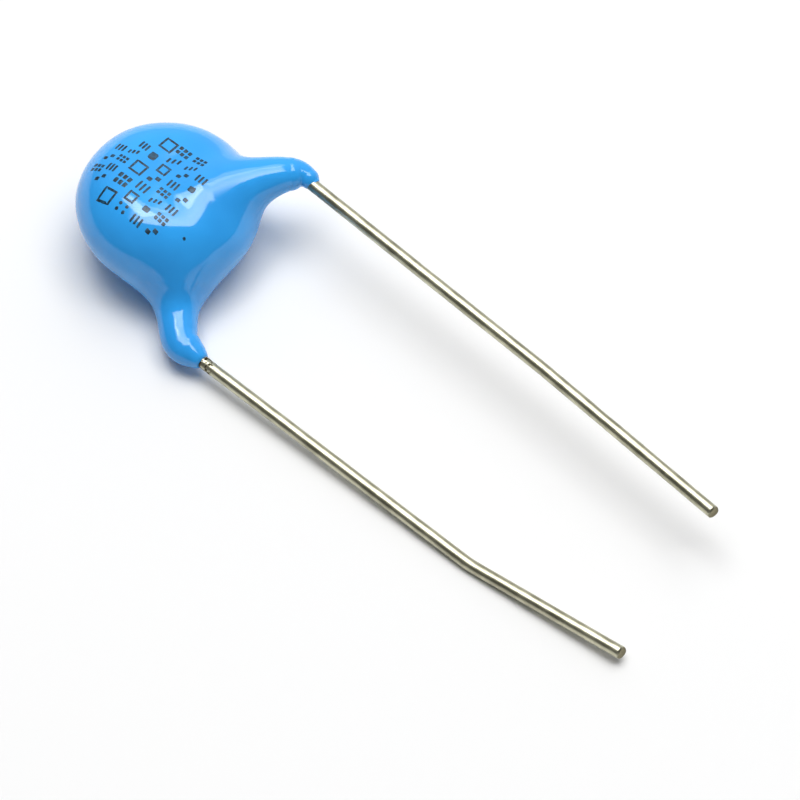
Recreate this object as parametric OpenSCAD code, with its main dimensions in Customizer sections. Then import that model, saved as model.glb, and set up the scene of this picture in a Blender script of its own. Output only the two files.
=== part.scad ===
// Safety-class ceramic disc capacitor, lying on its side as it comes to rest.
// A silvered ceramic disc carries a straight lead soldered to each face. The whole is dipped in epoxy,
// which runs down both leads as two sleeves. Millimetres, +Z up, +X along the leads,
// origin on the ground below the middle of the part.

/* [Ceramic disc] */
// Diameter of the fired disc
disc_d = 7.0; // [6.4:0.1:7.2]
// Thickness of the fired disc
disc_t = 3.2; // [2.8:0.1:3.6]
// Chamfer round both edges of the disc
disc_chamfer = 0.15; // [0.05:0.05:0.3]

/* [Electrodes] */
// Diameter of the silver film on each face
electrode_d = 6.0; // [5:0.1:6.2]
// Thickness of the silver film
electrode_t = 0.05; // [0.03:0.01:0.1]

/* [Leads] */
// Diameter of the tinned wire
wire_d = 0.6; // [0.5:0.05:0.7]
// Distance between the two leads where they leave the body
lead_pitch = 8.9; // [8.4:0.1:9.6]
// Centreline radius of the bend at each elbow
elbow_r = 1.0; // [0.8:0.1:1.2]
// Straight wire held under the coat, from its inner end to the elbow
held_l = 6.5; // [6:0.1:6.8]
// Centreline radius of the slight kink further down each lead
kink_r = 6; // [4:0.5:10]

/* [Front lead] */
// Elbow corner of the front lead, measured along the leads from the middle of the disc
front_elbow_x = 4.05; // [3.8:0.05:4.4]
// Angle at which the front lead splays out across the disc
front_splay = 49; // [46:1:52]
// Angle at which the front lead turns in towards the back one
front_toe = 2.9; // [0:0.1:3.4]
// Slope of the front lead away from the middle plane of the disc
front_slope = 0.4; // [0:0.1:1.2]
// Length of the front lead from its elbow to its kink
front_upper_l = 15.2; // [8:0.1:20]
// Length of the front lead from its kink to its cut end
front_lower_l = 10.5; // [5:0.1:14]
// Turn of the front lead at its kink, towards the back one
front_turn = 1.6; // [0.6:0.1:4]

/* [Back lead] */
// Elbow corner of the back lead, measured along the leads from the middle of the disc
back_elbow_x = 4.75; // [4.4:0.05:5]
// Angle at which the back lead splays out across the disc
back_splay = 44; // [41:1:47]
// Slope of the back lead away from the middle plane of the disc
back_slope = 0.3; // [0:0.1:0.8]
// Length of the back lead from its elbow to its kink
back_upper_l = 17.4; // [12:0.1:20]
// Length of the back lead from its kink to its cut end
back_lower_l = 8.2; // [5:0.1:12]
// Sideways turn of the back lead at its kink, towards the front one
back_turn = 4.5; // [2:0.5:8]
// Lift of the back lead after its kink
back_lift = 6; // [3:0.5:8]

/* [Solder] */
// Thickness of the solder film between wire and silver
solder_film = 0.05; // [0.02:0.01:0.1]
// Diameter of the solder mound on the silver
solder_d = 3.0; // [2.4:0.1:3.4]
// Height of the solder mound
solder_h = 0.5; // [0.4:0.05:0.6]
// Distance from the wire's inner end to the middle of the mound
solder_back = 1.2; // [0.8:0.1:1.4]

/* [Coat] */
// Coat over the edge of the ceramic disc
side_cover = 0.85; // [0.7:0.05:1.2]
// Coat over the buried wires, at the middle of each face
face_cover = 0.2; // [0.15:0.05:0.4]
// Height of the straight band round the rim
rim_band = 0.3; // [0.1:0.05:0.6]
// Crown radius of each face
crown_r = 45; // [30:1:60]
// Wall of each sleeve where it ends on the wire
sleeve_end_wall = 0.06; // [0.04:0.01:0.12]
// Radius, in plan, along which the root of each sleeve curves into the body
root_curve_r = 12; // [10:1:20]

/* [Front sleeve] */
// Radius of the front sleeve at its neck
front_sleeve_r = 0.94; // [0.86:0.01:1]
// Length of the front sleeve past its bend
front_sleeve_l = 0.16; // [0.1:0.01:0.5]
// Length over which the front sleeve draws in to its end
front_taper = 2.4; // [1.8:0.1:2.6]
// Length of the front sleeve's root, from the bend into the body
front_root_l = 4.1; // [3.6:0.1:4.6]
// Radius of the front sleeve where its root ends inside the body
front_root_r = 0.4; // [0.35:0.01:0.6]
// Width of the web of coat between the body and the front sleeve
front_web = 1.85; // [1.6:0.05:2.2]

/* [Back sleeve] */
// Radius of the back sleeve at its neck
back_sleeve_r = 0.83; // [0.76:0.01:0.92]
// Length of the back sleeve past its bend
back_sleeve_l = 0.7; // [0.5:0.05:1.2]
// Length over which the back sleeve draws in to its end
back_taper = 1.25; // [0.8:0.05:1.8]
// Length of the back sleeve's root, from the bend into the body
back_root_l = 1.9; // [1.6:0.1:2.4]
// Radius of the back sleeve where its root ends inside the body
back_root_r = 0.5; // [0.4:0.01:0.7]
// Width of the web of coat between the body and the back sleeve
back_web = 3.15; // [2.8:0.05:3.4]

/* [Hidden] */

FRONT = 1;
BACK = -1;

// Layers, outwards from the middle plane of the disc
wire_r = wire_d / 2;
face_z = disc_t / 2;
silver_z = face_z + electrode_t;
wire_z = silver_z + solder_film + wire_r;

// Round body: a core plate of radius core_r and half height flat_h, grown by rim_r, with crowned faces
body_r = disc_d / 2 + side_cover;
body_h = wire_z + wire_r + face_cover;
flat_h = rim_band / 2;
rim_r = body_h - flat_h;
core_r = body_r - rim_r;

// A bend is drawn this much fatter than the wire, and takes this much of each straight run inside it
bend_swell = 0.004;
bend_lap = 0.05;

// Mesh of the coat: rings round each side, points on a ring, and steps to find each point
fan_rings = 24;
sleeve_rings = 6;
ring_points = 32;
march_steps = 14;
march_start = 0.5;

// Centres of the rings: the first lies near the middle of the disc, and over these angles of the fan they
// reach the sleeve's centreline, rise to the wire, and lose their stretch across
first_ring_x = 0.3;
fan_gap = 2;
reach_by = 22;
rise_from = 4;
rise_by = 38;
stretch = 0.9;
stretch_until = 45;

// The centre of mass lies this share of the body's radius from the disc's middle, towards the leads
mass_share = 0.45;

// Smoothness of the round pieces
$fn = 64;

function mix(a, b, t) = a + (b - a) * t;
function limit(v, low, high) = min(max(v, low), high);
function ease(t) = let (u = limit(t, 0, 1)) u * u * (3 - 2 * u);
function unit(v) = v / norm(v);
function heading(turn, rise = 0) = [cos(turn) * cos(rise), sin(turn) * cos(rise), sin(rise)];

// Each side is worked out as if its lead lay at +y, +z; the back side is that turned over
function turned_over(p, side) = [p.x, side * p.y, side * p.z];
function elbow_x(side) = side == FRONT ? front_elbow_x : back_elbow_x;
function splay(side) = side == FRONT ? front_splay : back_splay;
function toe(side) = side == FRONT ? front_toe : 0;
function slope(side) = side == FRONT ? front_slope : back_slope;
function upper_l(side) = side == FRONT ? front_upper_l : back_upper_l;
function lower_l(side) = side == FRONT ? front_lower_l : back_lower_l;
function turn(side) = side == FRONT ? front_turn : back_turn;
function lift(side) = side == FRONT ? 0 : back_lift;
function sleeve_r(side) = side == FRONT ? front_sleeve_r : back_sleeve_r;
function sleeve_l(side) = side == FRONT ? front_sleeve_l : back_sleeve_l;
function taper(side) = side == FRONT ? front_taper : back_taper;
function root_l(side) = side == FRONT ? front_root_l : back_root_l;
function root_r(side) = side == FRONT ? front_root_r : back_root_r;

// Corners of a lead's centreline: inner end, elbow, kink, cut end
function elbow(side) = [elbow_x(side), lead_pitch / 2, wire_z];
function inner_end(side) = elbow(side) - held_l * heading(splay(side));
function kink(side) = elbow(side) + upper_l(side) * heading(-toe(side), slope(side));
function cut_end(side) =
    kink(side) + lower_l(side) * heading(-toe(side) - turn(side), slope(side) - lift(side));
function lead_corners(side) = [inner_end(side), elbow(side), kink(side), cut_end(side)];

// The sleeve's own centreline: a root that curves into the body, the wire's bend, and a straight end
function arc_l(r, angle) = r * angle * PI / 180;
function arc_angle(r, l) = l / r * 180 / PI;
function bend_run(side) = elbow_r * tan((splay(side) + toe(side)) / 2);
function bend_start(side) = elbow(side) - bend_run(side) * heading(splay(side));
function bend_end(side) = elbow(side) + bend_run(side) * heading(-toe(side));
function bend_centre(side) = bend_start(side) + elbow_r * heading(splay(side) - 90);
function root_centre(side) = bend_start(side) + root_curve_r * heading(splay(side) - 90);

// Distance to the surface of the bare body, negative inside
function body_field(p) =
    let (r = norm([p.x, p.y]))
    let (z = abs(p.z) + r * r / (2 * crown_r))
    norm([max(r - core_r, 0), max(z - flat_h, 0)]) - rim_r;

// Nearest place on an arc about a centre, as an angle between low and high, which is under 180
function angle_on_arc(p, centre, low, high) =
    let (a = atan2(p.y - centre.y, p.x - centre.x))
    limit(a < high - 180 ? a + 360 : a, low, high);

// A side's sleeve, as a function that gives the distance to its surface from a point in that side's frame.
// Its radius draws in to the wire at its end as a quarter of an ellipse, and shrinks along the root.
function sleeve_field_of(side) =
    let (end_r = wire_r + sleeve_end_wall, fuller = sleeve_r(side) - end_r)
    let (taper = taper(side), root_l = root_l(side), thinner = root_r(side) - sleeve_r(side))
    let (end_l = sleeve_l(side), neck_l = end_l + arc_l(elbow_r, splay(side) + toe(side)))
    let (radius = function (left)
        let (drawn_in = limit(1 - left / taper, 0, 1))
        end_r + fuller * sqrt(1 - drawn_in * drawn_in) + thinner * ease((left - neck_l) / root_l))
    let (out = 90 - toe(side), in = 90 + splay(side), innermost = in + arc_angle(root_curve_r, root_l))
    let (bend_c = bend_centre(side), root_c = root_centre(side))
    let (tip = bend_end(side), outward = heading(-toe(side)))
    function (p)
        let (root_a = angle_on_arc(p, root_c, in, innermost))
        let (root_left = neck_l + arc_l(root_curve_r, root_a - in))
        let (bend_a = angle_on_arc(p, bend_c, out, in))
        let (bend_left = end_l + arc_l(elbow_r, bend_a - out))
        let (run = limit((p - tip) * outward, 0, end_l))
        min(
            norm(p - root_c - root_curve_r * heading(root_a)) - radius(root_left),
            norm(p - bend_c - elbow_r * heading(bend_a)) - radius(bend_left),
            norm(p - tip - run * outward) - radius(end_l - run)
        );

front_sleeve_field = sleeve_field_of(FRONT);
back_sleeve_field = sleeve_field_of(BACK);

// Smaller of two distances, with a web of the given width filled in where they meet
function webbed(a, b, width) =
    let (h = limit(0.5 + 0.5 * (b - a) / width, 0, 1))
    mix(b, a, h) - width * h * (1 - h);

function coat_field(p) =
    webbed(
        webbed(body_field(p), front_sleeve_field(p), front_web),
        back_sleeve_field(turned_over(p, BACK)),
        back_web
    );

// The coat is drawn as rings that fan about a vertical line between the sleeves, from the end of one
// sleeve round the body to the end of the other. A ring is [centre, fan angle, stretch across].
fan_x = max(body_r, front_elbow_x, back_elbow_x) + fan_gap;

function fan_end(side) = atan2(bend_end(side).y, fan_x - bend_end(side).x);

function fan_ring(side, a) =
    let (e = elbow(side))
    let (back_along_wire = (e.y * cos(a) - (fan_x - e.x) * sin(a)) / sin(splay(side) + a))
    let (to_wire = a == 0 ? 0 : (e.y - max(back_along_wire, 0) * sin(splay(side))) / sin(a))
    let (d = mix(fan_x - first_ring_x, to_wire, ease(a / reach_by)))
    let (z = wire_z * ease((a - rise_from) / (rise_by - rise_from)))
    [
        turned_over([fan_x - d * cos(a), d * sin(a), z], side),
        side * a,
        1 + stretch * (1 - ease(a / stretch_until))
    ];

function sleeve_ring(side, t) = [
    turned_over(bend_end(side) + t * sleeve_l(side) * heading(-toe(side)), side),
    side * mix(fan_end(side), 90 + toe(side), t),
    1
];

function side_rings(side) = [
    for (i = [1:fan_rings]) fan_ring(side, fan_end(side) * i / fan_rings),
    for (i = [1:sleeve_rings]) sleeve_ring(side, i / sleeve_rings)
];

function reversed(list) = [for (i = [len(list) - 1:-1:0]) list[i]];

rings = concat(reversed(side_rings(BACK)), [fan_ring(FRONT, 0)], side_rings(FRONT));

// Steps outwards from a ring's centre until it meets the surface
function march(from, way, reach, steps) =
    steps == 0
        ? from + reach * way
        : march(from, way, max(reach - coat_field(from + reach * way), 0), steps - 1);

coat_points = [
    for (ring = rings, i = [0:ring_points - 1])
        let (phi = 360 * i / ring_points)
        let (across = ring[2] * cos(phi))
        let (way = unit([-cos(ring[1]) * across, sin(ring[1]) * across, sin(phi)]))
        march(ring[0], way, march_start, march_steps)
];

// How the part comes to rest: on the kink of its back lead and on the two lowest places of its coat.
// A plane through the kink's foot has slopes b along x and c along y; it stays below the coat and is
// raised as high as it goes under the centre of mass.
mass_x = mass_share * body_r;
foot = turned_over(kink(BACK), BACK) - [0, 0, wire_r];
low_points = [for (p = coat_points) if (p.z < -silver_z) p];

function slope_along(c) =
    max([for (p = low_points) (p.z - foot.z - c * (p.y - foot.y)) / (p.x - foot.x)]);
function height_under_mass(c) = slope_along(c) * (mass_x - foot.x) - c * foot.y;
function best_slope_across(low, high, steps) =
    let (a = mix(low, high, 1 / 3), b = mix(low, high, 2 / 3))
    steps == 0 ? (low + high) / 2
    : height_under_mass(a) < height_under_mass(b) ? best_slope_across(a, high, steps - 1)
    : best_slope_across(low, b, steps - 1);

slope_c = best_slope_across(-0.2, 0.4, 20);
slope_b = slope_along(slope_c);
roll = -atan(slope_c);
pitch = asin(slope_b / norm([slope_b, slope_c, 1]));

function rolled(p) = [p.x, p.y * cos(roll) - p.z * sin(roll), p.y * sin(roll) + p.z * cos(roll)];
function pitched(p) = [p.x * cos(pitch) + p.z * sin(pitch), p.y, p.z * cos(pitch) - p.x * sin(pitch)];

laid_points = [
    for (p = concat(coat_points, [cut_end(FRONT), turned_over(cut_end(BACK), BACK)])) pitched(rolled(p))
];
low_corner = [for (i = [0:2]) min([for (p = laid_points) p[i]])];
high_corner = [for (i = [0:2]) max([for (p = laid_points) p[i]])];
middle = (low_corner + high_corner) / 2;

module laid() {
    translate([-middle.x, -middle.y, -low_corner.z])
        rotate([roll, pitch, 0])
            children();
}

module on_side(side) {
    rotate([side == FRONT ? 0 : 180, 0, 0])
        children();
}

module at(place, way) {
    translate(place)
        rotate([0, acos(way.z), atan2(way.y, way.x)])
            children();
}

// Arc of wire that turns from heading u to heading v round a corner
module wire_bend(corner, u, v, r) {
    angle = acos(u * v);
    centre = corner + unit(v - u) * r / cos(angle / 2);
    x = unit(corner - u * r * tan(angle / 2) - centre);
    z = unit(cross(u, v));
    multmatrix([
        [x.x, u.x, z.x, centre.x],
        [x.y, u.y, z.y, centre.y],
        [x.z, u.z, z.z, centre.z],
        [0, 0, 0, 1]
    ])
        rotate_extrude(angle = angle)
            translate([r, 0])
                circle(r = wire_r + bend_swell);
}

// Straight wire between two corners, cut back by the runs of the bends at its ends
module wire_run(from, to, cut_from, cut_to) {
    way = unit(to - from);
    at(from + cut_from * way, way)
        cylinder(h = norm(to - from) - cut_from - cut_to, r = wire_r);
}

module wire(side) {
    corners = lead_corners(side);
    ways = [for (i = [0:2]) unit(corners[i + 1] - corners[i])];
    radii = [elbow_r, kink_r];
    runs = [for (i = [0:1]) radii[i] * tan(acos(ways[i] * ways[i + 1]) / 2)];
    cuts = [0, for (run = runs) run - min(bend_lap, run / 2), 0];
    on_side(side) {
        for (i = [0:2])
            wire_run(corners[i], corners[i + 1], cuts[i], cuts[i + 1]);
        for (i = [0:1])
            wire_bend(corners[i + 1], ways[i], ways[i + 1], radii[i]);
    }
}

module silver(side) {
    on_side(side)
        translate([0, 0, face_z])
            cylinder(h = electrode_t, d = electrode_d);
}

module fired_disc() {
    r = disc_d / 2;
    c = disc_chamfer;
    rotate_extrude()
        polygon([
            [0, -face_z], [r - c, -face_z], [r, c - face_z],
            [r, face_z - c], [r - c, face_z], [0, face_z]
        ]);
}

// Mound of solder: the cap of a ball that stands on the silver round the inner end of the wire
module mound(side) {
    ball_r = (solder_d * solder_d / 4 + solder_h * solder_h) / (2 * solder_h);
    place = inner_end(side) + solder_back * heading(splay(side));
    on_side(side)
        translate([place.x, place.y, silver_z])
            intersection() {
                translate([0, 0, solder_h - ball_r])
                    sphere(r = ball_r);
                cylinder(h = solder_h, d = solder_d);
            }
}

module coat_skin() {
    n = ring_points;
    last = len(rings) - 1;
    polyhedron(
        points = coat_points,
        faces = [
            [for (j = [0:n - 1]) j],
            for (i = [0:last - 1], j = [0:n - 1])
                let (a = i * n + j, b = i * n + (j + 1) % n)
                each [[a, a + n, b + n], [a, b + n, b]],
            [for (j = [n - 1:-1:0]) last * n + j]
        ]
    );
}

module coating() {
    color("#2E97EC")
        laid()
            difference() {
                coat_skin();
                fired_disc();
                for (side = [FRONT, BACK]) {
                    silver(side);
                    mound(side);
                    wire(side);
                }
            }
}

module ceramic_disc() {
    color("#C9B79A")
        laid()
            fired_disc();
}

module electrode(side) {
    color("#D8D8D4")
        laid()
            silver(side);
}

module solder(side) {
    color("#B4B7BA")
        laid()
            difference() {
                mound(side);
                wire(side);
            }
}

module lead(side) {
    color("#C6C9CB")
        laid()
            wire(side);
}

module front_electrode() {
    electrode(FRONT);
}

module back_electrode() {
    electrode(BACK);
}

module front_solder() {
    solder(FRONT);
}

module back_solder() {
    solder(BACK);
}

module front_lead() {
    lead(FRONT);
}

module back_lead() {
    lead(BACK);
}

coating();
ceramic_disc();
front_electrode();
back_electrode();
front_solder();
back_solder();
front_lead();
back_lead();
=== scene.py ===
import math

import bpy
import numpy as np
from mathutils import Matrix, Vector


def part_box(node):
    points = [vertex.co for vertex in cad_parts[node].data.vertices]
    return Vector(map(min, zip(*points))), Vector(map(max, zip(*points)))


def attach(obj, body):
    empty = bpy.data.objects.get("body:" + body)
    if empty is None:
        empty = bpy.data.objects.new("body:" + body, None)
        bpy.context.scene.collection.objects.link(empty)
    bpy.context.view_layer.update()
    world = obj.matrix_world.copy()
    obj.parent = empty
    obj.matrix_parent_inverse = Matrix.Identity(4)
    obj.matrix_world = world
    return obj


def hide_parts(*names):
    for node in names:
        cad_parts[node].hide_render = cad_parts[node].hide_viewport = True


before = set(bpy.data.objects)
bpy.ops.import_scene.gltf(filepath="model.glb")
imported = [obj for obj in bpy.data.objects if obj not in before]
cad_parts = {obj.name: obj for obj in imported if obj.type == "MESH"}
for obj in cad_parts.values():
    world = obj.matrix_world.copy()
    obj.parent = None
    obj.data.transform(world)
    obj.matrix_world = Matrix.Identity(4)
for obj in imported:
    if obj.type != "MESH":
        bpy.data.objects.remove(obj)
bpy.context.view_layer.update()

# Looks of a ceramic disc capacitor lying on a white table: a body dipped in glossy blue epoxy that runs
# down both leads, a block of printed marks, and two leads of tinned copper wire.
# Sizes are millimetres in the disc's own frame: origin at its middle, x along the leads, z out of the
# upper face. place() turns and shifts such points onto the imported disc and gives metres.

MM = 0.001
FRONT, BACK = 1, -1
SIDE_NAMES = {FRONT: "front", BACK: "back"}

# ---------------------------------------------------------------- driving sizes, in mm and degrees

# The wires: their centrelines run WIRE_Z above and below the disc's middle
WIRE_R = 0.3
WIRE_Z = 2.0
LEAD_PITCH = 8.9
ELBOW_R = 1.0
KINK_R = 6.0
HELD_BEFORE_ELBOW = 1.2

# The dipped body: half its width and thickness, the round of its edge, and the crown of its faces
BODY_R = 4.35
BODY_H = 2.5
RIM_R = 2.35
CROWN_R = 45.0

# The sleeves: the curve of their roots, and the skin that thins out over the wire at their ends
ROOT_CURVE_R = 12.0
SLEEVE_END_WALL = 0.04
END_FULLNESS, END_DIVE = 0.8, 0.4
END_FACES = np.array([0.0, 0.92, 0.39])

# Each lead and its sleeve, worked out as if they lay at +y, +z. The back ones are those turned over.
# A lead splays out across the disc, bends at its elbow, toes in and slopes, and turns and lifts at its
# kink. A sleeve has a neck of sleeve_r that draws in over the taper, a root that thins to root_r along
# root_l, and a web of coat that joins it to the body. Its end is skewed by skew.
LEADS = {
    FRONT: dict(elbow_x=4.05, splay=49.0, toe=2.9, slope=0.4, upper_l=15.2, lower_l=10.5, turn=1.6,
                lift=0.0, sleeve_r=0.97, sleeve_l=0.51, taper=2.75, root_l=4.1, root_r=0.4, web=1.85,
                skew=0.5),
    BACK: dict(elbow_x=4.75, splay=44.0, toe=0.0, slope=0.3, upper_l=17.4, lower_l=8.2, turn=4.5,
               lift=6.0, sleeve_r=0.83, sleeve_l=1.05, taper=1.6, root_l=1.9, root_r=0.5, web=3.15,
               skew=0.0),
}

# Mesh of the wires: sides, and steps along straight runs and bends
WIRE_SIDES = 48
RUN_STEP, BEND_STEP = 0.12, 0.05

# Relief of the tin as height and length of its waves, and the crust of burnt flux next to the sleeve
TIN_SWELL, TIN_SWELL_WAVE = 0.003, 1.7
TIN_RIPPLE, TIN_RIPPLE_WAVE = 0.0015, 0.5
FLUX_CRUST, FLUX_CRUST_WAVE = 0.008, 0.35
FLUX_REACH = {FRONT: 0.9, BACK: 2.6}

# The sheared ends: how far the rim leans back, the burr's height, its turn from there in radians and how
# narrow it is, where each end faces in radians, and the rings of the face as (share of radius, dip)
SHEAR_SLANT, BURR, BURR_TURN, BURR_NARROWS = 0.09, 0.035, 2.4, 4
SHEAR_FACES = {FRONT: 1.15, BACK: 4.29}
SHEAR_RIM = (0.97, 0.0)
SHEAR_DIPS = [(0.8, 0.02), (0.4, 0.03), (0.05, 0.03)]

# Rows of the print, from the disc's outer edge towards the leads, with each row's cell size
MARK_ROWS = [
    dict(x=-2.92, from_y=-1.75, to_y=-0.35, lean=0.16, h=0.60, w=0.44, marks="grid checks dashes"),
    dict(x=-2.24, from_y=-2.15, to_y=0.35, lean=0.19, h=0.58, w=0.44,
         marks="checks dashes grid steps dashes"),
    dict(x=-1.38, from_y=-2.80, to_y=1.15, lean=0.08, h=0.80, w=0.72,
         marks="frame grid frame block frame"),
    dict(x=-0.44, from_y=-2.95, to_y=1.30, lean=0.02, h=0.76, w=0.56,
         marks="dots frame dashes checks frame steps grid"),
    dict(x=0.48, from_y=-2.95, to_y=1.35, lean=0.02, h=0.70, w=0.46,
         marks="dashes block steps grid dashes checks steps grid"),
    dict(x=1.34, from_y=-2.90, to_y=0.45, lean=0.02, h=0.70, w=0.46,
         marks="checks grid dashes checks block dashes"),
]
OUTLINE_POINTS = 28
INK_STROKE = 0.115
INK_PROUD, INK_SUNK = 0.006, 0.012
PRINT_NUDGE = 0.015
INK_WANDER, INK_WANDER_WAVE = 0.05, 0.12
CORNER_POWER = 6
SPECK, SPECK_R = (2.62, -2.11), 0.07

# Rings of a mark's shell, from the middle of its top to the middle of its bottom, as (share of the
# outline, height over the coat)
INK_RINGS = [(0.02, INK_PROUD), (0.6, INK_PROUD), (0.93, INK_PROUD), (1.0, 0.6 * INK_PROUD),
             (1.0, -INK_SUNK), (0.5, -INK_SUNK), (0.02, -INK_SUNK)]

# Relief of the coat: a long swell over all of it, a fine one, and lumps where it ran down to its ends
SWELL, SWELL_WAVE = 0.009, 3.0
RIPPLE, RIPPLE_WAVE = 0.0015, 1.1
LUMP, LUMP_WAVE, LUMP_REACH = 0.012, 0.6, 1.4


# ---------------------------------------------------------------- small mathematics

def mix(a, b, t):
    """Straight blend from a to b as t goes from 0 to 1."""
    return a + (b - a) * t


def ease(t):
    """Smooth step: 3t^2 - 2t^3, held between 0 and 1."""
    t = np.clip(t, 0, 1)
    return t * t * (3 - 2 * t)


def unit(v):
    """v divided by its length, along the last axis."""
    v = np.asarray(v, float)
    return v / np.linalg.norm(v, axis=-1, keepdims=True)


def heading(turn, rise=0.0):
    """Unit vectors turned by turn from +x in the plane and raised by rise, in degrees."""
    t, r = np.radians(turn), np.radians(rise)
    return np.stack([np.cos(t) * np.cos(r), np.sin(t) * np.cos(r), np.sin(r) + 0 * t], -1)


def turned_over(points, side):
    """The same points for the other side of the disc: half a turn about x where side is BACK."""
    return np.asarray(points, float) * np.array([1, side, side])


def waves(points, scale, seed, count=9):
    """Gentle random relief between about -1 and 1: the mean of sines along random directions.

    Each sine has a wavelength within a third of scale, in mm.
    """
    rng = np.random.default_rng(seed)
    total = np.zeros(points.shape[:-1])
    for _ in range(count):
        way = unit(rng.normal(size=points.shape[-1]))
        wavelength = scale * rng.uniform(0.67, 1.33)
        phase = rng.uniform(0, 2 * math.pi)
        total += np.sin(points @ way * (2 * math.pi / wavelength) + phase)
    return total / math.sqrt(count)


# ---------------------------------------------------------------- where the disc lies

def disc_pose():
    """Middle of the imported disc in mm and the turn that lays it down, from its largest flat face."""
    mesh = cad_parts["ceramic_disc"].data
    low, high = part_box("ceramic_disc")
    middle = (np.array(low) + np.array(high)) / (2 * MM)
    upward = [p for p in mesh.polygons if p.normal.z > 0]
    normal = max(upward, key=lambda p: p.area).normal
    roll = -math.asin(normal.y)
    pitch = math.atan2(normal.x, normal.z)
    about_x = np.array([[1, 0, 0],
                        [0, math.cos(roll), -math.sin(roll)],
                        [0, math.sin(roll), math.cos(roll)]])
    about_y = np.array([[math.cos(pitch), 0, math.sin(pitch)],
                        [0, 1, 0],
                        [-math.sin(pitch), 0, math.cos(pitch)]])
    return middle, about_y @ about_x


DISC_MIDDLE, DISC_TURN = disc_pose()


def place(points):
    """Points of the disc's own frame, in mm, as points of the part's frame, in metres."""
    return (np.asarray(points) @ DISC_TURN.T + DISC_MIDDLE) * MM


# ---------------------------------------------------------------- the coat as a distance field

def side_shape(side):
    """One sleeve's centreline in that side's own frame: a root that curves in, a bend, a straight end.

    The two arcs share the bend's inner end and curve the same way, each about its own centre.
    """
    lead = LEADS[side]
    elbow = np.array([lead["elbow_x"], LEAD_PITCH / 2, WIRE_Z])
    run = ELBOW_R * math.tan(math.radians(lead["splay"] + lead["toe"]) / 2)
    bend_start = elbow - run * heading(lead["splay"])
    bend_end = elbow + run * heading(-lead["toe"])
    inner_side = heading(lead["splay"] - 90)
    outward = heading(-lead["toe"])
    return dict(
        lead, elbow=elbow, outward=outward, bend_end=bend_end,
        tip=bend_end + lead["sleeve_l"] * outward,
        bend_centre=bend_start + ELBOW_R * inner_side,
        root_centre=bend_start + ROOT_CURVE_R * inner_side,
        neck_l=lead["sleeve_l"] + ELBOW_R * math.radians(lead["splay"] + lead["toe"]),
    )


SHAPE = {side: side_shape(side) for side in (FRONT, BACK)}


def body_field(p):
    """Distance to the bare body: a plate of radius BODY_R - RIM_R grown by RIM_R.

    The faces are crowned by bending the plate with r^2 / (2 CROWN_R).
    """
    r = np.hypot(p[..., 0], p[..., 1])
    z = np.abs(p[..., 2]) + r * r / (2 * CROWN_R)
    across = np.maximum(r - (BODY_R - RIM_R), 0)
    up = np.maximum(z - (BODY_H - RIM_R), 0)
    return np.hypot(across, up) - RIM_R


def to_sleeve(offset, left, s):
    """Distance to a sleeve's surface, from the offset to its centreline and the length left to its end.

    Over the taper the radius draws in to the wire as (1 - d^2) ^ END_FULLNESS, and it shrinks along the
    root. The end is skewed: opposite END_FACES the length left is less, and past the end the skin dives
    into the wire.
    """
    reach = np.linalg.norm(offset, axis=-1)
    behind = 0.5 - 0.5 * (offset @ END_FACES) / np.maximum(reach, 1e-9)
    left = left - s["skew"] * behind
    drawn_in = np.clip(1 - left / s["taper"], 0, 1)
    end_r = WIRE_R + SLEEVE_END_WALL + END_DIVE * np.minimum(left, 0)
    neck = end_r + (s["sleeve_r"] - end_r) * (1 - drawn_in ** 2) ** END_FULLNESS
    return reach - neck - (s["root_r"] - s["sleeve_r"]) * ease((left - s["neck_l"]) / s["root_l"])


def angle_on_arc(p, centre, low, high):
    """Turn about a centre of the arc's point nearest to p, in degrees between low and high."""
    a = np.degrees(np.arctan2(p[..., 1] - centre[1], p[..., 0] - centre[0]))
    return np.clip(np.where(a < high - 180, a + 360, a), low, high)


def sleeve_field(p, s):
    """Distance to one sleeve: the least of those to its root's arc, its bend and its straight end."""
    out, inner = 90 - s["toe"], 90 + s["splay"]
    root = angle_on_arc(p, s["root_centre"], inner, inner + math.degrees(s["root_l"] / ROOT_CURVE_R))
    bend = angle_on_arc(p, s["bend_centre"], out, inner)
    run = np.clip((p - s["bend_end"]) @ s["outward"], 0, s["sleeve_l"])
    return np.minimum.reduce([
        to_sleeve(p - s["root_centre"] - ROOT_CURVE_R * heading(root),
                  s["neck_l"] + ROOT_CURVE_R * np.radians(root - inner), s),
        to_sleeve(p - s["bend_centre"] - ELBOW_R * heading(bend),
                  s["sleeve_l"] + ELBOW_R * np.radians(bend - out), s),
        to_sleeve(p - s["bend_end"] - run[..., None] * s["outward"], s["sleeve_l"] - run, s),
    ])


def webbed(a, b, width):
    """Smaller of two distances, with a web of coat of that width filled in where they meet."""
    h = np.clip(0.5 + 0.5 * (b - a) / width, 0, 1)
    return mix(b, a, h) - width * h * (1 - h)


def coat_field(p):
    """Distance to the surface of the whole coat, negative inside."""
    front, back = SHAPE[FRONT], SHAPE[BACK]
    with_front = webbed(body_field(p), sleeve_field(p, front), front["web"])
    return webbed(with_front, sleeve_field(turned_over(p, BACK), back), back["web"])


# Towards the coat's surface each step is STEP_SHARE of the distance left. A ring's points start FAN_START
# from its centre, and those of the print DROP_START over the disc's middle.
STEP_SHARE = 0.9
FAN_STEPS, FAN_START = 60, 0.3
DROP_STEPS, DROP_START = 40, 5.0


def march(start, way):
    """Steps outwards from start along way until the coat's surface is met."""
    reach = np.full(way.shape[:-1], FAN_START)
    for _ in range(FAN_STEPS):
        reach = np.maximum(reach - STEP_SHARE * coat_field(start + reach[..., None] * way), 0)
    return start + reach[..., None] * way


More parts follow.
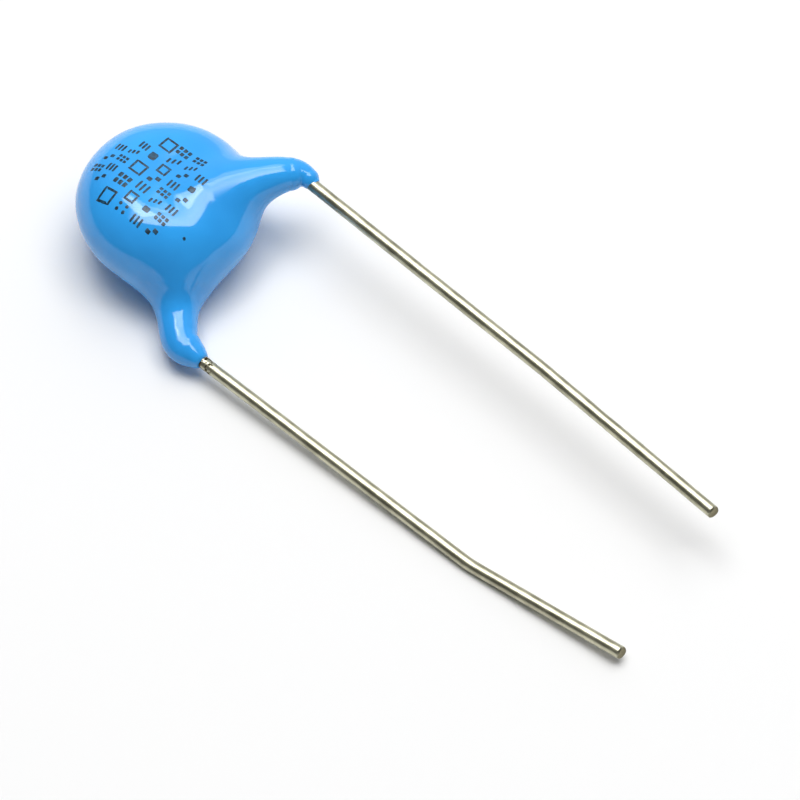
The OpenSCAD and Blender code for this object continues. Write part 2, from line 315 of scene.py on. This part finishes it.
def drop_onto_coat(plan):
    """Points of the coat's upper side below places of the plan: they sink until they meet it."""
    high = np.full(plan.shape[:-1], DROP_START)
    for _ in range(DROP_STEPS):
        high = high - STEP_SHARE * coat_field(np.concatenate([plan, high[..., None]], -1))
    return np.concatenate([plan, high[..., None]], -1)


def coat_normal(p, step=0.01):
    """Outward direction at points on the coat: the slope of its distance field."""
    axes = np.eye(3) * step
    return unit(np.stack([coat_field(p + a) - coat_field(p - a) for a in axes], -1))


def coat_relief(p):
    """Height of the dried coat over its plain form: swell, ripple, and lumps towards each sleeve's end."""
    height = SWELL * waves(p, SWELL_WAVE, seed=4) + RIPPLE * waves(p, RIPPLE_WAVE, seed=5)
    for side in (FRONT, BACK):
        away = np.linalg.norm(turned_over(p, side) - SHAPE[side]["tip"], axis=-1)
        height += LUMP * ease(1 - away / LUMP_REACH) * waves(p, LUMP_WAVE, seed=7 + side)
    return height


def on_coat(p, proud=0.0):
    """Points of the plain form moved out to the dried coat's surface, and proud of it by that much."""
    return p + (coat_relief(p) + proud)[..., None] * coat_normal(p)


# ---------------------------------------------------------------- meshes from grids

INNER_END = -2


def tube_faces(rows, columns):
    """Faces of a closed tube over a grid: quads row after row, and the polygons that close its two ends.

    Each column follows the last one round. The two groups of faces are arrays of point numbers. The ends
    come last, so the face at INNER_END closes the first row.
    """
    i, j = np.meshgrid(np.arange(rows - 1), np.arange(columns), indexing="ij")
    k = (j + 1) % columns
    a, b, c, d = i * columns + j, i * columns + k, (i + 1) * columns + k, (i + 1) * columns + j
    ring = np.arange(columns)
    ends = np.stack([ring[::-1], (rows - 1) * columns + ring])
    return [np.stack([a, b, c, d], -1).reshape(-1, 4), ends]


def signed_volume(points, groups):
    """Volume inside closed faces by the divergence theorem, positive where they point outwards."""
    corners = [points[faces] for faces in groups]
    return sum(np.sum(np.cross(p[:, 1:-1], p[:, 2:]) * p[:, :1]) / 6 for p in corners)


def new_piece(name, points, groups, material, replaced=()):
    """A smooth mesh object in the part's frame that rides on the part, its faces turned outwards."""
    if signed_volume(points / MM, groups) < 0:
        groups = [faces[:, ::-1] for faces in groups]
    mesh = bpy.data.meshes.new(name)
    mesh.from_pydata(points.tolist(), [], sum([faces.tolist() for faces in groups], []))
    mesh.validate()
    mesh.shade_smooth()
    mesh.materials.append(material)
    piece = bpy.data.objects.new(name, mesh)
    bpy.context.scene.collection.objects.link(piece)
    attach(piece, "root")
    if replaced:
        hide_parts(*replaced)
    return piece


# ---------------------------------------------------------------- the coat's mesh

# The fan's line stands past the body and both elbows, in the space between the leads
FAN_X = max(BODY_R, LEADS[FRONT]["elbow_x"], LEADS[BACK]["elbow_x"]) + 2
FAN_RINGS = 130
SLEEVE_RINGS = 16
RING_POINTS = 256

# Centres of the rings: over these angles of the fan they reach the sleeve's centreline, rise to the
# wire, and lose their stretch across
FIRST_RING_X = 0.3
REACH_BY = 22
RISE_FROM, RISE_BY = 4, 38
STRETCH, STRETCH_UNTIL = 0.9, 45

# How far the edge of each end wanders along the wire, how far back that reaches, and its waves
EDGE_WANDER, EDGE_REACH, EDGE_WAVE = 0.04, 0.6, 1.3


def side_rings(side):
    """Rings of one side: half planes that fan about a vertical line at FAN_X, then the sleeve's own.

    Returns each ring's centre, its turn in degrees, and how much it is stretched across.
    """
    s = SHAPE[side]
    splay = math.radians(s["splay"])
    fan_end = math.degrees(math.atan2(s["bend_end"][1], FAN_X - s["bend_end"][0]))
    a = fan_end * np.arange(1, FAN_RINGS + 1) / FAN_RINGS
    r = np.radians(a)
    elbow = s["elbow"]
    along_root = (elbow[1] * np.cos(r) - (FAN_X - elbow[0]) * np.sin(r)) / np.sin(splay + r)
    to_wire = (elbow[1] - np.maximum(along_root, 0) * math.sin(splay)) / np.sin(r)
    d = mix(FAN_X - FIRST_RING_X, to_wire, ease(a / REACH_BY))
    rise = ease((a - RISE_FROM) / (RISE_BY - RISE_FROM))
    centre = np.stack([FAN_X - d * np.cos(r), d * np.sin(r), WIRE_Z * rise], -1)
    stretch = 1 + STRETCH * (1 - ease(a / STRETCH_UNTIL))
    t = np.arange(1, SLEEVE_RINGS + 1) / SLEEVE_RINGS
    sleeve = s["bend_end"] + (t * s["sleeve_l"])[:, None] * s["outward"]
    centres = turned_over(np.vstack([centre, sleeve]), side)
    turns = side * np.concatenate([a, mix(fan_end, 90 + s["toe"], t)])
    return centres, turns, np.concatenate([stretch, np.ones(SLEEVE_RINGS)])


def coat_surface():
    """Grid of points on the coat: along the rings from the back sleeve's end to the front one's."""
    back, front = side_rings(BACK), side_rings(FRONT)
    middle = (np.array([[FIRST_RING_X, 0, 0]]), np.array([0.0]), np.array([1 + STRETCH]))
    centre, turn, stretch = (np.concatenate([b[::-1], m, f])
                             for b, m, f in zip(back, middle, front))
    phi = 2 * math.pi * np.arange(RING_POINTS) / RING_POINTS
    turn = np.radians(turn)[:, None]
    across = stretch[:, None] * np.cos(phi)
    up = np.broadcast_to(np.sin(phi), across.shape)
    way = unit(np.stack([-np.cos(turn) * across, np.sin(turn) * across, up], -1))
    return march(np.broadcast_to(centre[:, None, :], way.shape), way)


def make_coat(material):
    """The dipped coat: its plain form with the relief of a dried dip, closed over the wire at both ends.

    The edge of each end wanders along the wire by EDGE_WANDER, as the last drop dried there.
    """
    plain_form = coat_surface()
    grid = on_coat(plain_form)
    for side in (FRONT, BACK):
        s = SHAPE[side]
        away = np.linalg.norm(turned_over(plain_form, side) - s["tip"], axis=-1)
        wander = EDGE_WANDER * ease(1 - away / EDGE_REACH) * waves(plain_form, EDGE_WAVE, seed=31 + side)
        grid = grid + wander[..., None] * turned_over(s["outward"], side)
    piece = new_piece("epoxy_coat", place(grid.reshape(-1, 3)), tube_faces(*grid.shape[:2]),
                      material, ["coating"])


# ---------------------------------------------------------------- the leads

def lead_corners(side):
    """Corners of a lead's centreline: just inside the sleeve, elbow, kink, cut end."""
    lead = LEADS[side]
    elbow = SHAPE[side]["elbow"]
    inner = elbow - HELD_BEFORE_ELBOW * heading(lead["splay"])
    kink = elbow + lead["upper_l"] * heading(-lead["toe"], lead["slope"])
    end = kink + lead["lower_l"] * heading(-lead["toe"] - lead["turn"], lead["slope"] - lead["lift"])
    return [inner, elbow, kink, end]


def rounded_path(corners, radii):
    """Points along straight runs joined by circular arcs of those radii at the inner corners."""
    points, start = [], corners[0]
    for i, r in enumerate(radii):
        corner = corners[i + 1]
        u, v = unit(corner - corners[i]), unit(corners[i + 2] - corner)
        angle = math.acos(np.clip(u @ v, -1, 1))
        run = r * math.tan(angle / 2)
        first, last = corner - run * u, corner + run * v
        points.append(straight_points(start, first))
        centre = corner + unit(v - u) * r / math.cos(angle / 2)
        across = unit(first - centre)
        t = np.linspace(0, angle, max(3, int(angle * r / BEND_STEP)))[:, None]
        points.append(centre + r * (np.cos(t) * across + np.sin(t) * u))
        start = last
    points.append(straight_points(start, corners[-1]))
    path = np.vstack(points)
    keep = np.concatenate([[True], np.linalg.norm(np.diff(path, axis=0), axis=1) > 1e-6])
    return path[keep]


def straight_points(a, b):
    """Evenly spaced points from a to b, about RUN_STEP apart."""
    count = max(2, int(np.linalg.norm(b - a) / RUN_STEP) + 1)
    return a + np.linspace(0, 1, count)[:, None] * (b - a)


def wire_end_rings(path, ring, phi, faces):
    """Rings that close the sheared end: a slanted rim with a burr, then a face that dips a little.

    ring holds the unit vectors from the wire's centre to its last circle, and phi their angles. On the side
    that it faces the rim leans back by SHEAR_SLANT, and the burr stands out further round, where the blade
    left it.
    """
    way = unit(path[-1] - path[-2])
    lean = -SHEAR_SLANT * np.cos(phi - faces)
    burr = BURR * np.exp(BURR_NARROWS * (np.cos(phi - faces - BURR_TURN) - 1))
    share, dip = np.array([SHEAR_RIM] + SHEAR_DIPS).T[:, :, None]
    ahead = share * lean - dip
    ahead[0] += burr
    return path[-1] + share[..., None] * WIRE_R * ring + ahead[..., None] * way


def make_lead(side, tin, cut):
    """A tinned wire: a circle carried along its centreline, with a sheared end.

    Its radius swells and ripples by about 1 %. The piece's attribute "flux" is 1 at the sleeve and fades
    away from it. The material of the cut covers the rings past the centreline and the face that closes
    them.
    """
    path = rounded_path(lead_corners(side), [ELBOW_R, KINK_R])
    way = unit(np.gradient(path, axis=0))
    across = unit(np.cross(way, np.array([0.0, 0.0, 1.0])))
    up = np.cross(across, way)
    phi = 2 * math.pi * np.arange(WIRE_SIDES) / WIRE_SIDES
    ring = np.cos(phi)[None, :, None] * across[:, None, :] + np.sin(phi)[None, :, None] * up[:, None, :]
    grid = path[:, None, :] + WIRE_R * ring
    from_tip = np.linalg.norm(grid - SHAPE[side]["tip"], axis=-1)
    flux = ease(1 - from_tip / FLUX_REACH[side])
    relief = (TIN_SWELL * waves(grid, TIN_SWELL_WAVE, seed=11 + side)
              + TIN_RIPPLE * waves(grid, TIN_RIPPLE_WAVE, seed=21 + side)
              + FLUX_CRUST * flux * waves(grid, FLUX_CRUST_WAVE, seed=41 + side))
    grid = grid + relief[..., None] * ring
    end = wire_end_rings(path, ring[-1], phi, SHEAR_FACES[side])
    grid = np.concatenate([grid, end])
    name = SIDE_NAMES[side]
    piece = new_piece(name + "_tinned_wire", place(turned_over(grid.reshape(-1, 3), side)),
                      tube_faces(len(grid), WIRE_SIDES), tin, [name + "_lead"])
    piece.data.materials.append(cut)
    is_cut = np.zeros(len(piece.data.polygons), np.int32)
    is_cut[len(path) * WIRE_SIDES:] = 1
    is_cut[INNER_END] = 0
    piece.data.polygons.foreach_set("material_index", is_cut)
    flux = np.concatenate([flux, np.zeros(end.shape[:2])])
    piece.data.attributes.new("flux", "FLOAT", "POINT").data.foreach_set("value", flux.ravel())


# ---------------------------------------------------------------- the printed marks

def bar(x, y, down, right):
    """Outline of an upright bar, down long and right wide, with rounded corners."""
    t = np.linspace(0, 2 * math.pi, OUTLINE_POINTS, endpoint=False)
    c, s = np.cos(t), np.sin(t)
    squarish = (np.abs(c) ** CORNER_POWER + np.abs(s) ** CORNER_POWER) ** (-1 / CORNER_POWER)
    return np.stack([x + down / 2 * c * squarish, y + right / 2 * s * squarish], -1)


def dot(x, y, r):
    """Outline of a round dot."""
    t = np.linspace(0, 2 * math.pi, OUTLINE_POINTS, endpoint=False)
    return np.stack([x + r * np.cos(t), y + r * np.sin(t)], -1)


def mark_shapes(kind, x, y, h, w):
    """Outlines of one plain mark in a cell h down and w across, centred at x, y.

    Places and sizes inside the cell are shares of its height and width, and thin bars are a stroke wide.
    """
    s = INK_STROKE
    if kind == "block":
        return [bar(x, y, 0.5 * h, 0.62 * w)]
    if kind == "frame":
        edge = (w - s) / 2
        return [bar(x - edge, y + s / 2, s, w - s), bar(x + edge, y - s / 2, s, w - s),
                bar(x + s / 2, y + edge, w - s, s), bar(x - s / 2, y - edge, w - s, s)]
    if kind == "dashes":
        return [bar(x + k * h / 3.2, y, s, 0.9 * w) for k in (-1, 0, 1)]
    if kind == "checks":
        return [bar(x + k * h / 5, y + k * w / 4.4, 0.34 * h, 0.4 * w) for k in (-1, 1)]
    if kind == "steps":
        return [bar(x + k * h / 3.4, y + k * w / 5, s, 0.55 * w) for k in (-1, 0, 1)]
    if kind == "dots":
        return [dot(x + i * h / 4, y + j * w / 4, 0.15 * w) for i in (-1, 1) for j in (-1, 1)]
    return [bar(x + i * h / 3, y + j * w / 4, 0.25 * h, 0.36 * w) for i in (-1, 0, 1) for j in (-1, 1)]


def mark_outlines():
    """All the marks in the disc's plan: rows of cells, each row running across the leads.

    Each is nudged a little, as a pad print on a domed face comes out.
    """
    rng = np.random.default_rng(17)
    outlines = []
    for row in MARK_ROWS:
        kinds = row["marks"].split()
        ys = np.linspace(row["from_y"], row["to_y"], len(kinds))
        lean = row["lean"] * (ys - ys.mean())
        for kind, y, shift in zip(kinds, ys, lean):
            x = row["x"] + shift + rng.normal(0, PRINT_NUDGE)
            outlines += mark_shapes(kind, x, y + rng.normal(0, PRINT_NUDGE), row["h"], row["w"])
    outlines.append(dot(SPECK[0], SPECK[1], SPECK_R))
    return outlines


def make_ink_marks(material):
    """The print: for each mark a thin closed shell that follows the coat and stands INK_PROUD of it.

    Its rings shrink to the middle of the outline: a top that rounds over at the edge, and a bottom
    just under the coat's surface. The outline's edge wanders by INK_WANDER of its size, as ink does.
    """
    outlines = np.stack(mark_outlines())
    middle = outlines.mean(axis=1, keepdims=True)
    wander = INK_WANDER * waves(outlines, INK_WANDER_WAVE, seed=3)
    edge = (outlines - middle) * (1 + wander)[..., None]
    share, proud = np.array(INK_RINGS).T[:, None, :, None]
    surface = drop_onto_coat(middle[:, None] + share[..., None] * edge[:, None])
    grid = on_coat(surface, proud)
    marks, rows, columns = grid.shape[:3]
    first = (np.arange(marks) * rows * columns)[:, None, None]
    groups = [(first + faces).reshape(-1, faces.shape[1]) for faces in tube_faces(rows, columns)]
    new_piece("ink_marks", place(grid.reshape(-1, 3)), groups, material)


# ---------------------------------------------------------------- materials

# Sizes of the patterns, in mm, and their colours, each at its place between a pattern's lows and highs.
# Real draw lines, drag lines and grain are finer: these are as coarse as they need to be to show. A draw
# line is DRAW_LINE_SLIMNESS as wide as it is long, and flux shows over a range of its pattern.
EPOXY_CLOUD, ORANGE_PEEL = 3.0, 0.7
EPOXY_BLUES = {0.3: "#2E9EEE", 0.7: "#32A9FA"}
DRAW_LINE, TIN_SPOT, FLUX_GRAIN = 0.12, 0.9, 0.16
DRAW_LINE_SLIMNESS = 0.12
TIN_GREYS = {0.35: "#A4A28C", 0.65: "#CBC9B0"}
TIN_SMOOTH, TIN_ROUGH = 0.26, 0.40
FLUX_BROWN = "#5C5138"
FLUX_FROM, FLUX_FULL = 0.46, 0.56
DRAG_LINE = 0.06
CUT_GREYS = {0.0: "#6F6A55", 1.0: "#A39C80"}
INK_WEAR = 0.16
INK_BLACKS = {0.4: "#0C2A38", 0.75: "#1D5878"}
INNER_GRAIN = 0.1
CERAMIC_BUFF, SILVER_GREY, SOLDER_GREY = "#C9B79A", "#D8D8D4", "#B4B7BA"


def linear(hex_colour):
    """sRGB hex, such as "#2E9EEE", as linear RGBA."""
    values = [int(hex_colour[i:i + 2], 16) / 255 for i in (1, 3, 5)]
    return [v / 12.92 if v <= 0.04045 else ((v + 0.055) / 1.055) ** 2.4 for v in values] + [1.0]


def add(tree, kind, settings=None, stops=None, **inputs):
    """Adds a node, sets its properties and a ramp's stops, and sets or links its inputs.

    An input goes by its name, with _ for a space, or by its number after a _.
    """
    node = tree.nodes.new(kind)
    for key, value in (settings or {}).items():
        setattr(node, key, value)
    for i, (position, shade) in enumerate((stops or {}).items()):
        stop = node.color_ramp.elements[i]
        stop.position, stop.color = position, linear(shade)
    for key, value in inputs.items():
        socket = node.inputs[int(key[1:]) if key[:1] == "_" else key.replace("_", " ")]
        if isinstance(value, bpy.types.NodeSocket):
            tree.links.new(value, socket)
        else:
            socket.default_value = value
    return node


def new_material(name):
    """An empty node material with its output."""
    material = bpy.data.materials.new(name)
    material.use_nodes = True
    material.node_tree.nodes.clear()
    out = material.node_tree.nodes.new("ShaderNodeOutputMaterial")
    return material, material.node_tree, out


def glossy_dipped_epoxy():
    """Epoxy powder coat, dipped and cured: it flows out wet-looking, with a faint orange peel.

    Its smooth skin gives the lamps sharp, bright reflections.
    """
    material, tree, out = new_material("glossy_dipped_epoxy")
    where = add(tree, "ShaderNodeTexCoord").outputs["Object"]
    tone = add(tree, "ShaderNodeTexNoise", Vector=where, Scale=1 / (EPOXY_CLOUD * MM), Detail=2.0)
    colour = add(tree, "ShaderNodeValToRGB", stops=EPOXY_BLUES, Fac=tone.outputs["Fac"])
    peel = add(tree, "ShaderNodeTexNoise", Vector=where, Scale=1 / (ORANGE_PEEL * MM), Detail=1.5)
    bump = add(tree, "ShaderNodeBump", Height=peel.outputs["Fac"], Strength=0.06, Distance=0.02 * MM)
    shader = add(tree, "ShaderNodeBsdfPrincipled", Base_Color=colour.outputs["Color"],
                 Roughness=0.08, IOR=1.58, Normal=bump.outputs["Normal"])
    tree.links.new(shader.outputs["BSDF"], out.inputs["Surface"])
    return material


def tinned_copper():
    """Copper wire drawn through molten tin: bright, faintly warm, with long draw lines and dull spots.

    Near the sleeve the attribute "flux" brings dark grains of burnt flux.
    """
    material, tree, out = new_material("tinned_copper_wire")
    where = add(tree, "ShaderNodeTexCoord").outputs["Object"]
    stretched = add(tree, "ShaderNodeMapping", Vector=where, Scale=(DRAW_LINE_SLIMNESS, 1.0, 1.0))
    lines = add(tree, "ShaderNodeTexNoise", Vector=stretched.outputs["Vector"],
                Scale=1 / (DRAW_LINE * MM), Detail=3.0)
    spots = add(tree, "ShaderNodeTexNoise", Vector=where, Scale=1 / (TIN_SPOT * MM), Detail=3.0)
    tin = add(tree, "ShaderNodeValToRGB", stops=TIN_GREYS, Fac=spots.outputs["Fac"])
    grains = add(tree, "ShaderNodeTexNoise", Vector=where, Scale=1 / (FLUX_GRAIN * MM), Detail=2.0)
    flux = add(tree, "ShaderNodeAttribute", {"attribute_name": "flux"})
    burnt = add(tree, "ShaderNodeMath", {"operation": "MULTIPLY"},
                _0=flux.outputs["Fac"], _1=grains.outputs["Fac"])
    dark = add(tree, "ShaderNodeMapRange", Value=burnt.outputs["Value"],
               From_Min=FLUX_FROM, From_Max=FLUX_FULL)
    colour = add(tree, "ShaderNodeMix", {"data_type": "RGBA"}, Factor=dark.outputs["Result"],
                 _6=tin.outputs["Color"], _7=linear(FLUX_BROWN))
    rough = add(tree, "ShaderNodeMapRange", Value=spots.outputs["Fac"],
                To_Min=TIN_SMOOTH, To_Max=TIN_ROUGH)
    rougher = add(tree, "ShaderNodeMath", {"operation": "ADD", "use_clamp": True},
                  _0=rough.outputs["Result"], _1=dark.outputs["Result"])
    bump = add(tree, "ShaderNodeBump", Height=lines.outputs["Fac"], Strength=0.25, Distance=0.01 * MM)
    shader = add(tree, "ShaderNodeBsdfPrincipled", Base_Color=colour.outputs[2],
                 Metallic=1.0, Roughness=rougher.outputs["Value"], Normal=bump.outputs["Normal"])
    tree.links.new(shader.outputs["BSDF"], out.inputs["Surface"])
    return material


def sheared_wire():
    """Wire cropped by a blade: the torn face is dull and darker than the tin, with fine drag lines."""
    material, tree, out = new_material("sheared_copper_face")
    where = add(tree, "ShaderNodeTexCoord").outputs["Object"]
    drag = add(tree, "ShaderNodeTexNoise", Vector=where, Scale=1 / (DRAG_LINE * MM), Detail=3.0)
    colour = add(tree, "ShaderNodeValToRGB", stops=CUT_GREYS, Fac=drag.outputs["Fac"])
    bump = add(tree, "ShaderNodeBump", Height=drag.outputs["Fac"], Strength=0.5, Distance=0.02 * MM)
    shader = add(tree, "ShaderNodeBsdfPrincipled", Base_Color=colour.outputs["Color"],
                 Metallic=1.0, Roughness=0.45, Normal=bump.outputs["Normal"])
    tree.links.new(shader.outputs["BSDF"], out.inputs["Surface"])
    return material


def pad_printed_ink():
    """Pad-printing ink, dried thin: blue-black, a little duller than the epoxy, with worn patches."""
    material, tree, out = new_material("pad_printed_ink")
    where = add(tree, "ShaderNodeTexCoord").outputs["Object"]
    wear = add(tree, "ShaderNodeTexNoise", Vector=where, Scale=1 / (INK_WEAR * MM), Detail=2.0)
    colour = add(tree, "ShaderNodeValToRGB", stops=INK_BLACKS, Fac=wear.outputs["Fac"])
    shader = add(tree, "ShaderNodeBsdfPrincipled", Base_Color=colour.outputs["Color"],
                 Roughness=0.35, IOR=1.5)
    tree.links.new(shader.outputs["BSDF"], out.inputs["Surface"])
    return material


def sealed_finish(name, hex_colour, roughness, metallic=0.0):
    """Finish of a sealed inner piece, with a fine grain.

    The ceramic is fired bare and dry, the silver is a paste burnt on to a satin film, and the solder has
    flowed and set bright.
    """
    material, tree, out = new_material(name)
    where = add(tree, "ShaderNodeTexCoord").outputs["Object"]
    grain = add(tree, "ShaderNodeTexNoise", Vector=where, Scale=1 / (INNER_GRAIN * MM), Detail=2.0)
    bump = add(tree, "ShaderNodeBump", Height=grain.outputs["Fac"], Strength=0.2, Distance=0.01 * MM)
    shader = add(tree, "ShaderNodeBsdfPrincipled", Base_Color=linear(hex_colour),
                 Roughness=roughness, Metallic=metallic, Normal=bump.outputs["Normal"])
    tree.links.new(shader.outputs["BSDF"], out.inputs["Surface"])
    return material


# ---------------------------------------------------------------- camera, light and table

CAMERA_AZIMUTH = 39.73
CAMERA_ELEVATION = 60.0
CAMERA_DISTANCE = 190 * MM
CAMERA_TARGET = np.array([1.131, 0.141, 0.002]) * MM
CAMERA_NEAR, CAMERA_FAR = 0.01, 10
PIXELS_PER_MM = 21.56
IMAGE_WIDTH = 800

# The softbox hangs level over the part, with its reach to the right and away from the viewer and its
# height in metres. Along its depth it dims over SOFTBOX_DIMS to SOFTBOX_FAR of its radiance. Along its
# width it eases off over SOFTBOX_ENDS on both sides of SOFTBOX_MIDDLE, and its far edge is narrower by
# SOFTBOX_NARROWS.
SOFTBOX_RIGHT, SOFTBOX_AWAY, SOFTBOX_UP = (-0.24, 0.40), (-0.048, 0.24), 0.40
SOFTBOX_RADIANCE, SOFTBOX_FAR = 5.3, 0.5
SOFTBOX_DIMS, SOFTBOX_ENDS, SOFTBOX_MIDDLE, SOFTBOX_NARROWS = (0.2, 0.9), (0.3, 0.5), 0.46, 2.0

# The other lamps, in degrees and metres from the part
ROOM_LAMPS = {
    "left_lamp": dict(azimuth=256, elevation=69.6, distance=0.38, size=0.13, radiance=4.6),
    "far_lamp": dict(azimuth=197, elevation=54, distance=0.40, size=0.13, radiance=2.0),
}

# The room's light all round, and that of the pale wall beyond the part: where it stands, and over which
# cosines of the angle to it the one turns into the other
ROOM_LIGHT, WALL_LIGHT = 0.12, 0.56
WALL_AZIMUTH, WALL_ELEVATION = 200, 20
WALL_FROM, WALL_FULL = 0.1, 0.9

# The table: half its side, and the distances from the part, in metres, at which its white turns grey.
# The grey is painted falloff of the light: a painted pool of light round the part.
TABLE_HALF = 1.5
PAINTED_FALLOFF_FROM, PAINTED_FALLOFF_UNTIL = 0.030, 0.120
TABLE_WHITE, PAINTED_FALLOFF_GREY = 0.88, 0.60


def look_from(azimuth, elevation):
    """Unit vector from the part towards a viewer: azimuth 0 stands at -Y."""
    a, e = math.radians(azimuth), math.radians(elevation)
    return np.array([math.sin(a) * math.cos(e), -math.cos(a) * math.cos(e), math.sin(e)])


def make_camera():
    """Camera whose focal length shows PIXELS_PER_MM at its target."""
    data = bpy.data.cameras.new("camera")
    focal_px = PIXELS_PER_MM * CAMERA_DISTANCE / MM
    data.lens = data.sensor_width * focal_px / IMAGE_WIDTH
    data.clip_start, data.clip_end = CAMERA_NEAR, CAMERA_FAR
    camera = bpy.data.objects.new("camera", data)
    bpy.context.scene.collection.objects.link(camera)
    camera.location = CAMERA_TARGET + CAMERA_DISTANCE * look_from(CAMERA_AZIMUTH, CAMERA_ELEVATION)
    camera.rotation_euler = (math.radians(90 - CAMERA_ELEVATION), 0, math.radians(CAMERA_AZIMUTH))
    bpy.context.scene.camera = camera


def area_light(name, spot, tilt, turn, width, depth, radiance):
    """A rectangular lamp at a spot in metres, tilted about x, turned about z, with a face that bright.

    Its power is radiance times pi times its area.
    """
    data = bpy.data.lights.new(name, "AREA")
    data.shape = "RECTANGLE"
    data.size, data.size_y = width, depth
    data.energy = radiance * math.pi * width * depth
    light = bpy.data.objects.new(name, data)
    bpy.context.scene.collection.objects.link(light)
    light.location = spot
    light.rotation_euler = (math.radians(tilt), 0, math.radians(turn))
    return data


def room_lamp(name, azimuth, elevation, distance, size, radiance):
    """A square lamp that stands that way from the part and faces it."""
    spot = distance * look_from(azimuth, elevation)
    area_light(name, spot, 90 - elevation, azimuth, size, size, radiance)


def ceiling_softbox():
    """A softbox level over the part, its width across the camera's view.

    It is brightest along its near edge, dims and narrows away from the viewer, and eases off at both ends.
    """
    low, high = SOFTBOX_RIGHT
    near, far = SOFTBOX_AWAY
    turn = math.radians(CAMERA_AZIMUTH)
    right = np.array([math.cos(turn), math.sin(turn), 0])
    away = np.array([-math.sin(turn), math.cos(turn), 0])
    spot = (low + high) / 2 * right + (near + far) / 2 * away + np.array([0, 0, SOFTBOX_UP])
    lamp = area_light("ceiling_softbox", spot, 0, CAMERA_AZIMUTH, high - low, far - near,
                      SOFTBOX_RADIANCE)
    lamp.use_nodes = True
    tree = lamp.node_tree
    on_face = add(tree, "ShaderNodeSeparateXYZ",
                  Vector=add(tree, "ShaderNodeNewGeometry").outputs["Parametric"])
    level = add(tree, "ShaderNodeMapRange", {"interpolation_type": "SMOOTHSTEP"},
                Value=on_face.outputs["Y"], From_Min=SOFTBOX_DIMS[0], From_Max=SOFTBOX_DIMS[1],
                To_Min=1.0, To_Max=SOFTBOX_FAR)
    sideways = add(tree, "ShaderNodeMath", {"operation": "SUBTRACT"},
                   _0=on_face.outputs["X"], _1=SOFTBOX_MIDDLE)
    off_middle = add(tree, "ShaderNodeMath", {"operation": "ABSOLUTE"}, _0=sideways.outputs["Value"])
    narrower = add(tree, "ShaderNodeMapRange", Value=on_face.outputs["Y"],
                   To_Min=1.0, To_Max=SOFTBOX_NARROWS)
    spread = add(tree, "ShaderNodeMath", {"operation": "MULTIPLY"},
                 _0=off_middle.outputs["Value"], _1=narrower.outputs["Result"])
    ends = add(tree, "ShaderNodeMapRange", {"interpolation_type": "SMOOTHSTEP"},
               Value=spread.outputs["Value"], From_Min=SOFTBOX_ENDS[0], From_Max=SOFTBOX_ENDS[1],
               To_Min=1.0, To_Max=0.0)
    shape = add(tree, "ShaderNodeMath", {"operation": "MULTIPLY"},
                _0=level.outputs["Result"], _1=ends.outputs["Result"])
    tree.links.new(shape.outputs["Value"], tree.nodes["Emission"].inputs["Strength"])


def make_world():
    """Soft room light: dim all round, with a pale wall beyond the part that fades into it."""
    world = bpy.data.worlds.new("room")
    world.use_nodes = True
    tree = world.node_tree
    tree.nodes.clear()
    out = tree.nodes.new("ShaderNodeOutputWorld")
    where = add(tree, "ShaderNodeTexCoord").outputs["Generated"]
    facing = add(tree, "ShaderNodeVectorMath", {"operation": "DOT_PRODUCT"},
                 _0=where, _1=look_from(WALL_AZIMUTH, WALL_ELEVATION))
    wall = add(tree, "ShaderNodeMapRange", {"interpolation_type": "SMOOTHSTEP"},
               Value=facing.outputs["Value"], From_Min=WALL_FROM, From_Max=WALL_FULL,
               To_Min=ROOM_LIGHT, To_Max=WALL_LIGHT)
    background = add(tree, "ShaderNodeBackground", Color=(1, 1, 1, 1), Strength=wall.outputs["Result"])
    tree.links.new(background.outputs["Background"], out.inputs["Surface"])
    bpy.context.scene.world = world


def make_table_with_painted_falloff():
    """White table top with a painted pool of light: its colour greys away from the part, standing in for
    the light's falloff.
    """
    corners = TABLE_HALF * np.array([(-1, -1, 0), (1, -1, 0), (1, 1, 0), (-1, 1, 0)])
    mesh = bpy.data.meshes.new("table")
    mesh.from_pydata(corners.tolist(), [], [(0, 1, 2, 3)])
    material, tree, out = new_material("white_table_with_painted_falloff")
    where = add(tree, "ShaderNodeTexCoord").outputs["Object"]
    away = add(tree, "ShaderNodeVectorMath", {"operation": "LENGTH"}, _0=where)
    # Painted falloff of light: the table's colour dims from white to grey away from the part
    colour = add(tree, "ShaderNodeMapRange", {"interpolation_type": "SMOOTHSTEP"},
                 Value=away.outputs["Value"], From_Min=PAINTED_FALLOFF_FROM, From_Max=PAINTED_FALLOFF_UNTIL,
                 To_Min=TABLE_WHITE, To_Max=PAINTED_FALLOFF_GREY)
    shader = add(tree, "ShaderNodeBsdfPrincipled", Base_Color=colour.outputs["Result"], Roughness=0.9)
    tree.links.new(shader.outputs["BSDF"], out.inputs["Surface"])
    mesh.materials.append(material)
    table = bpy.data.objects.new("table", mesh)
    bpy.context.scene.collection.objects.link(table)


# ---------------------------------------------------------------- the scene

make_camera()
make_world()
make_table_with_painted_falloff()
ceiling_softbox()
for lamp_name, lamp in ROOM_LAMPS.items():
    room_lamp(lamp_name, **lamp)

make_coat(glossy_dipped_epoxy())
make_ink_marks(pad_printed_ink())
wire_finishes = tinned_copper(), sheared_wire()
for lead_side in (FRONT, BACK):
    make_lead(lead_side, *wire_finishes)

SEALED_PIECES = {
    "ceramic_disc": sealed_finish("fired_titanate_ceramic", CERAMIC_BUFF, 0.6),
    "front_electrode": sealed_finish("burnt_on_silver", SILVER_GREY, 0.35, 1.0),
    "back_electrode": sealed_finish("burnt_on_silver_back", SILVER_GREY, 0.35, 1.0),
    "front_solder": sealed_finish("tin_solder", SOLDER_GREY, 0.3, 1.0),
    "back_solder": sealed_finish("tin_solder_back", SOLDER_GREY, 0.3, 1.0),
}
for node_name, finish in SEALED_PIECES.items():
    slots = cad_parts[node_name].data.materials
    slots.clear()
    slots.append(finish)

bpy.context.scene.view_settings.view_transform = "Standard"
bpy.context.view_layer.update()
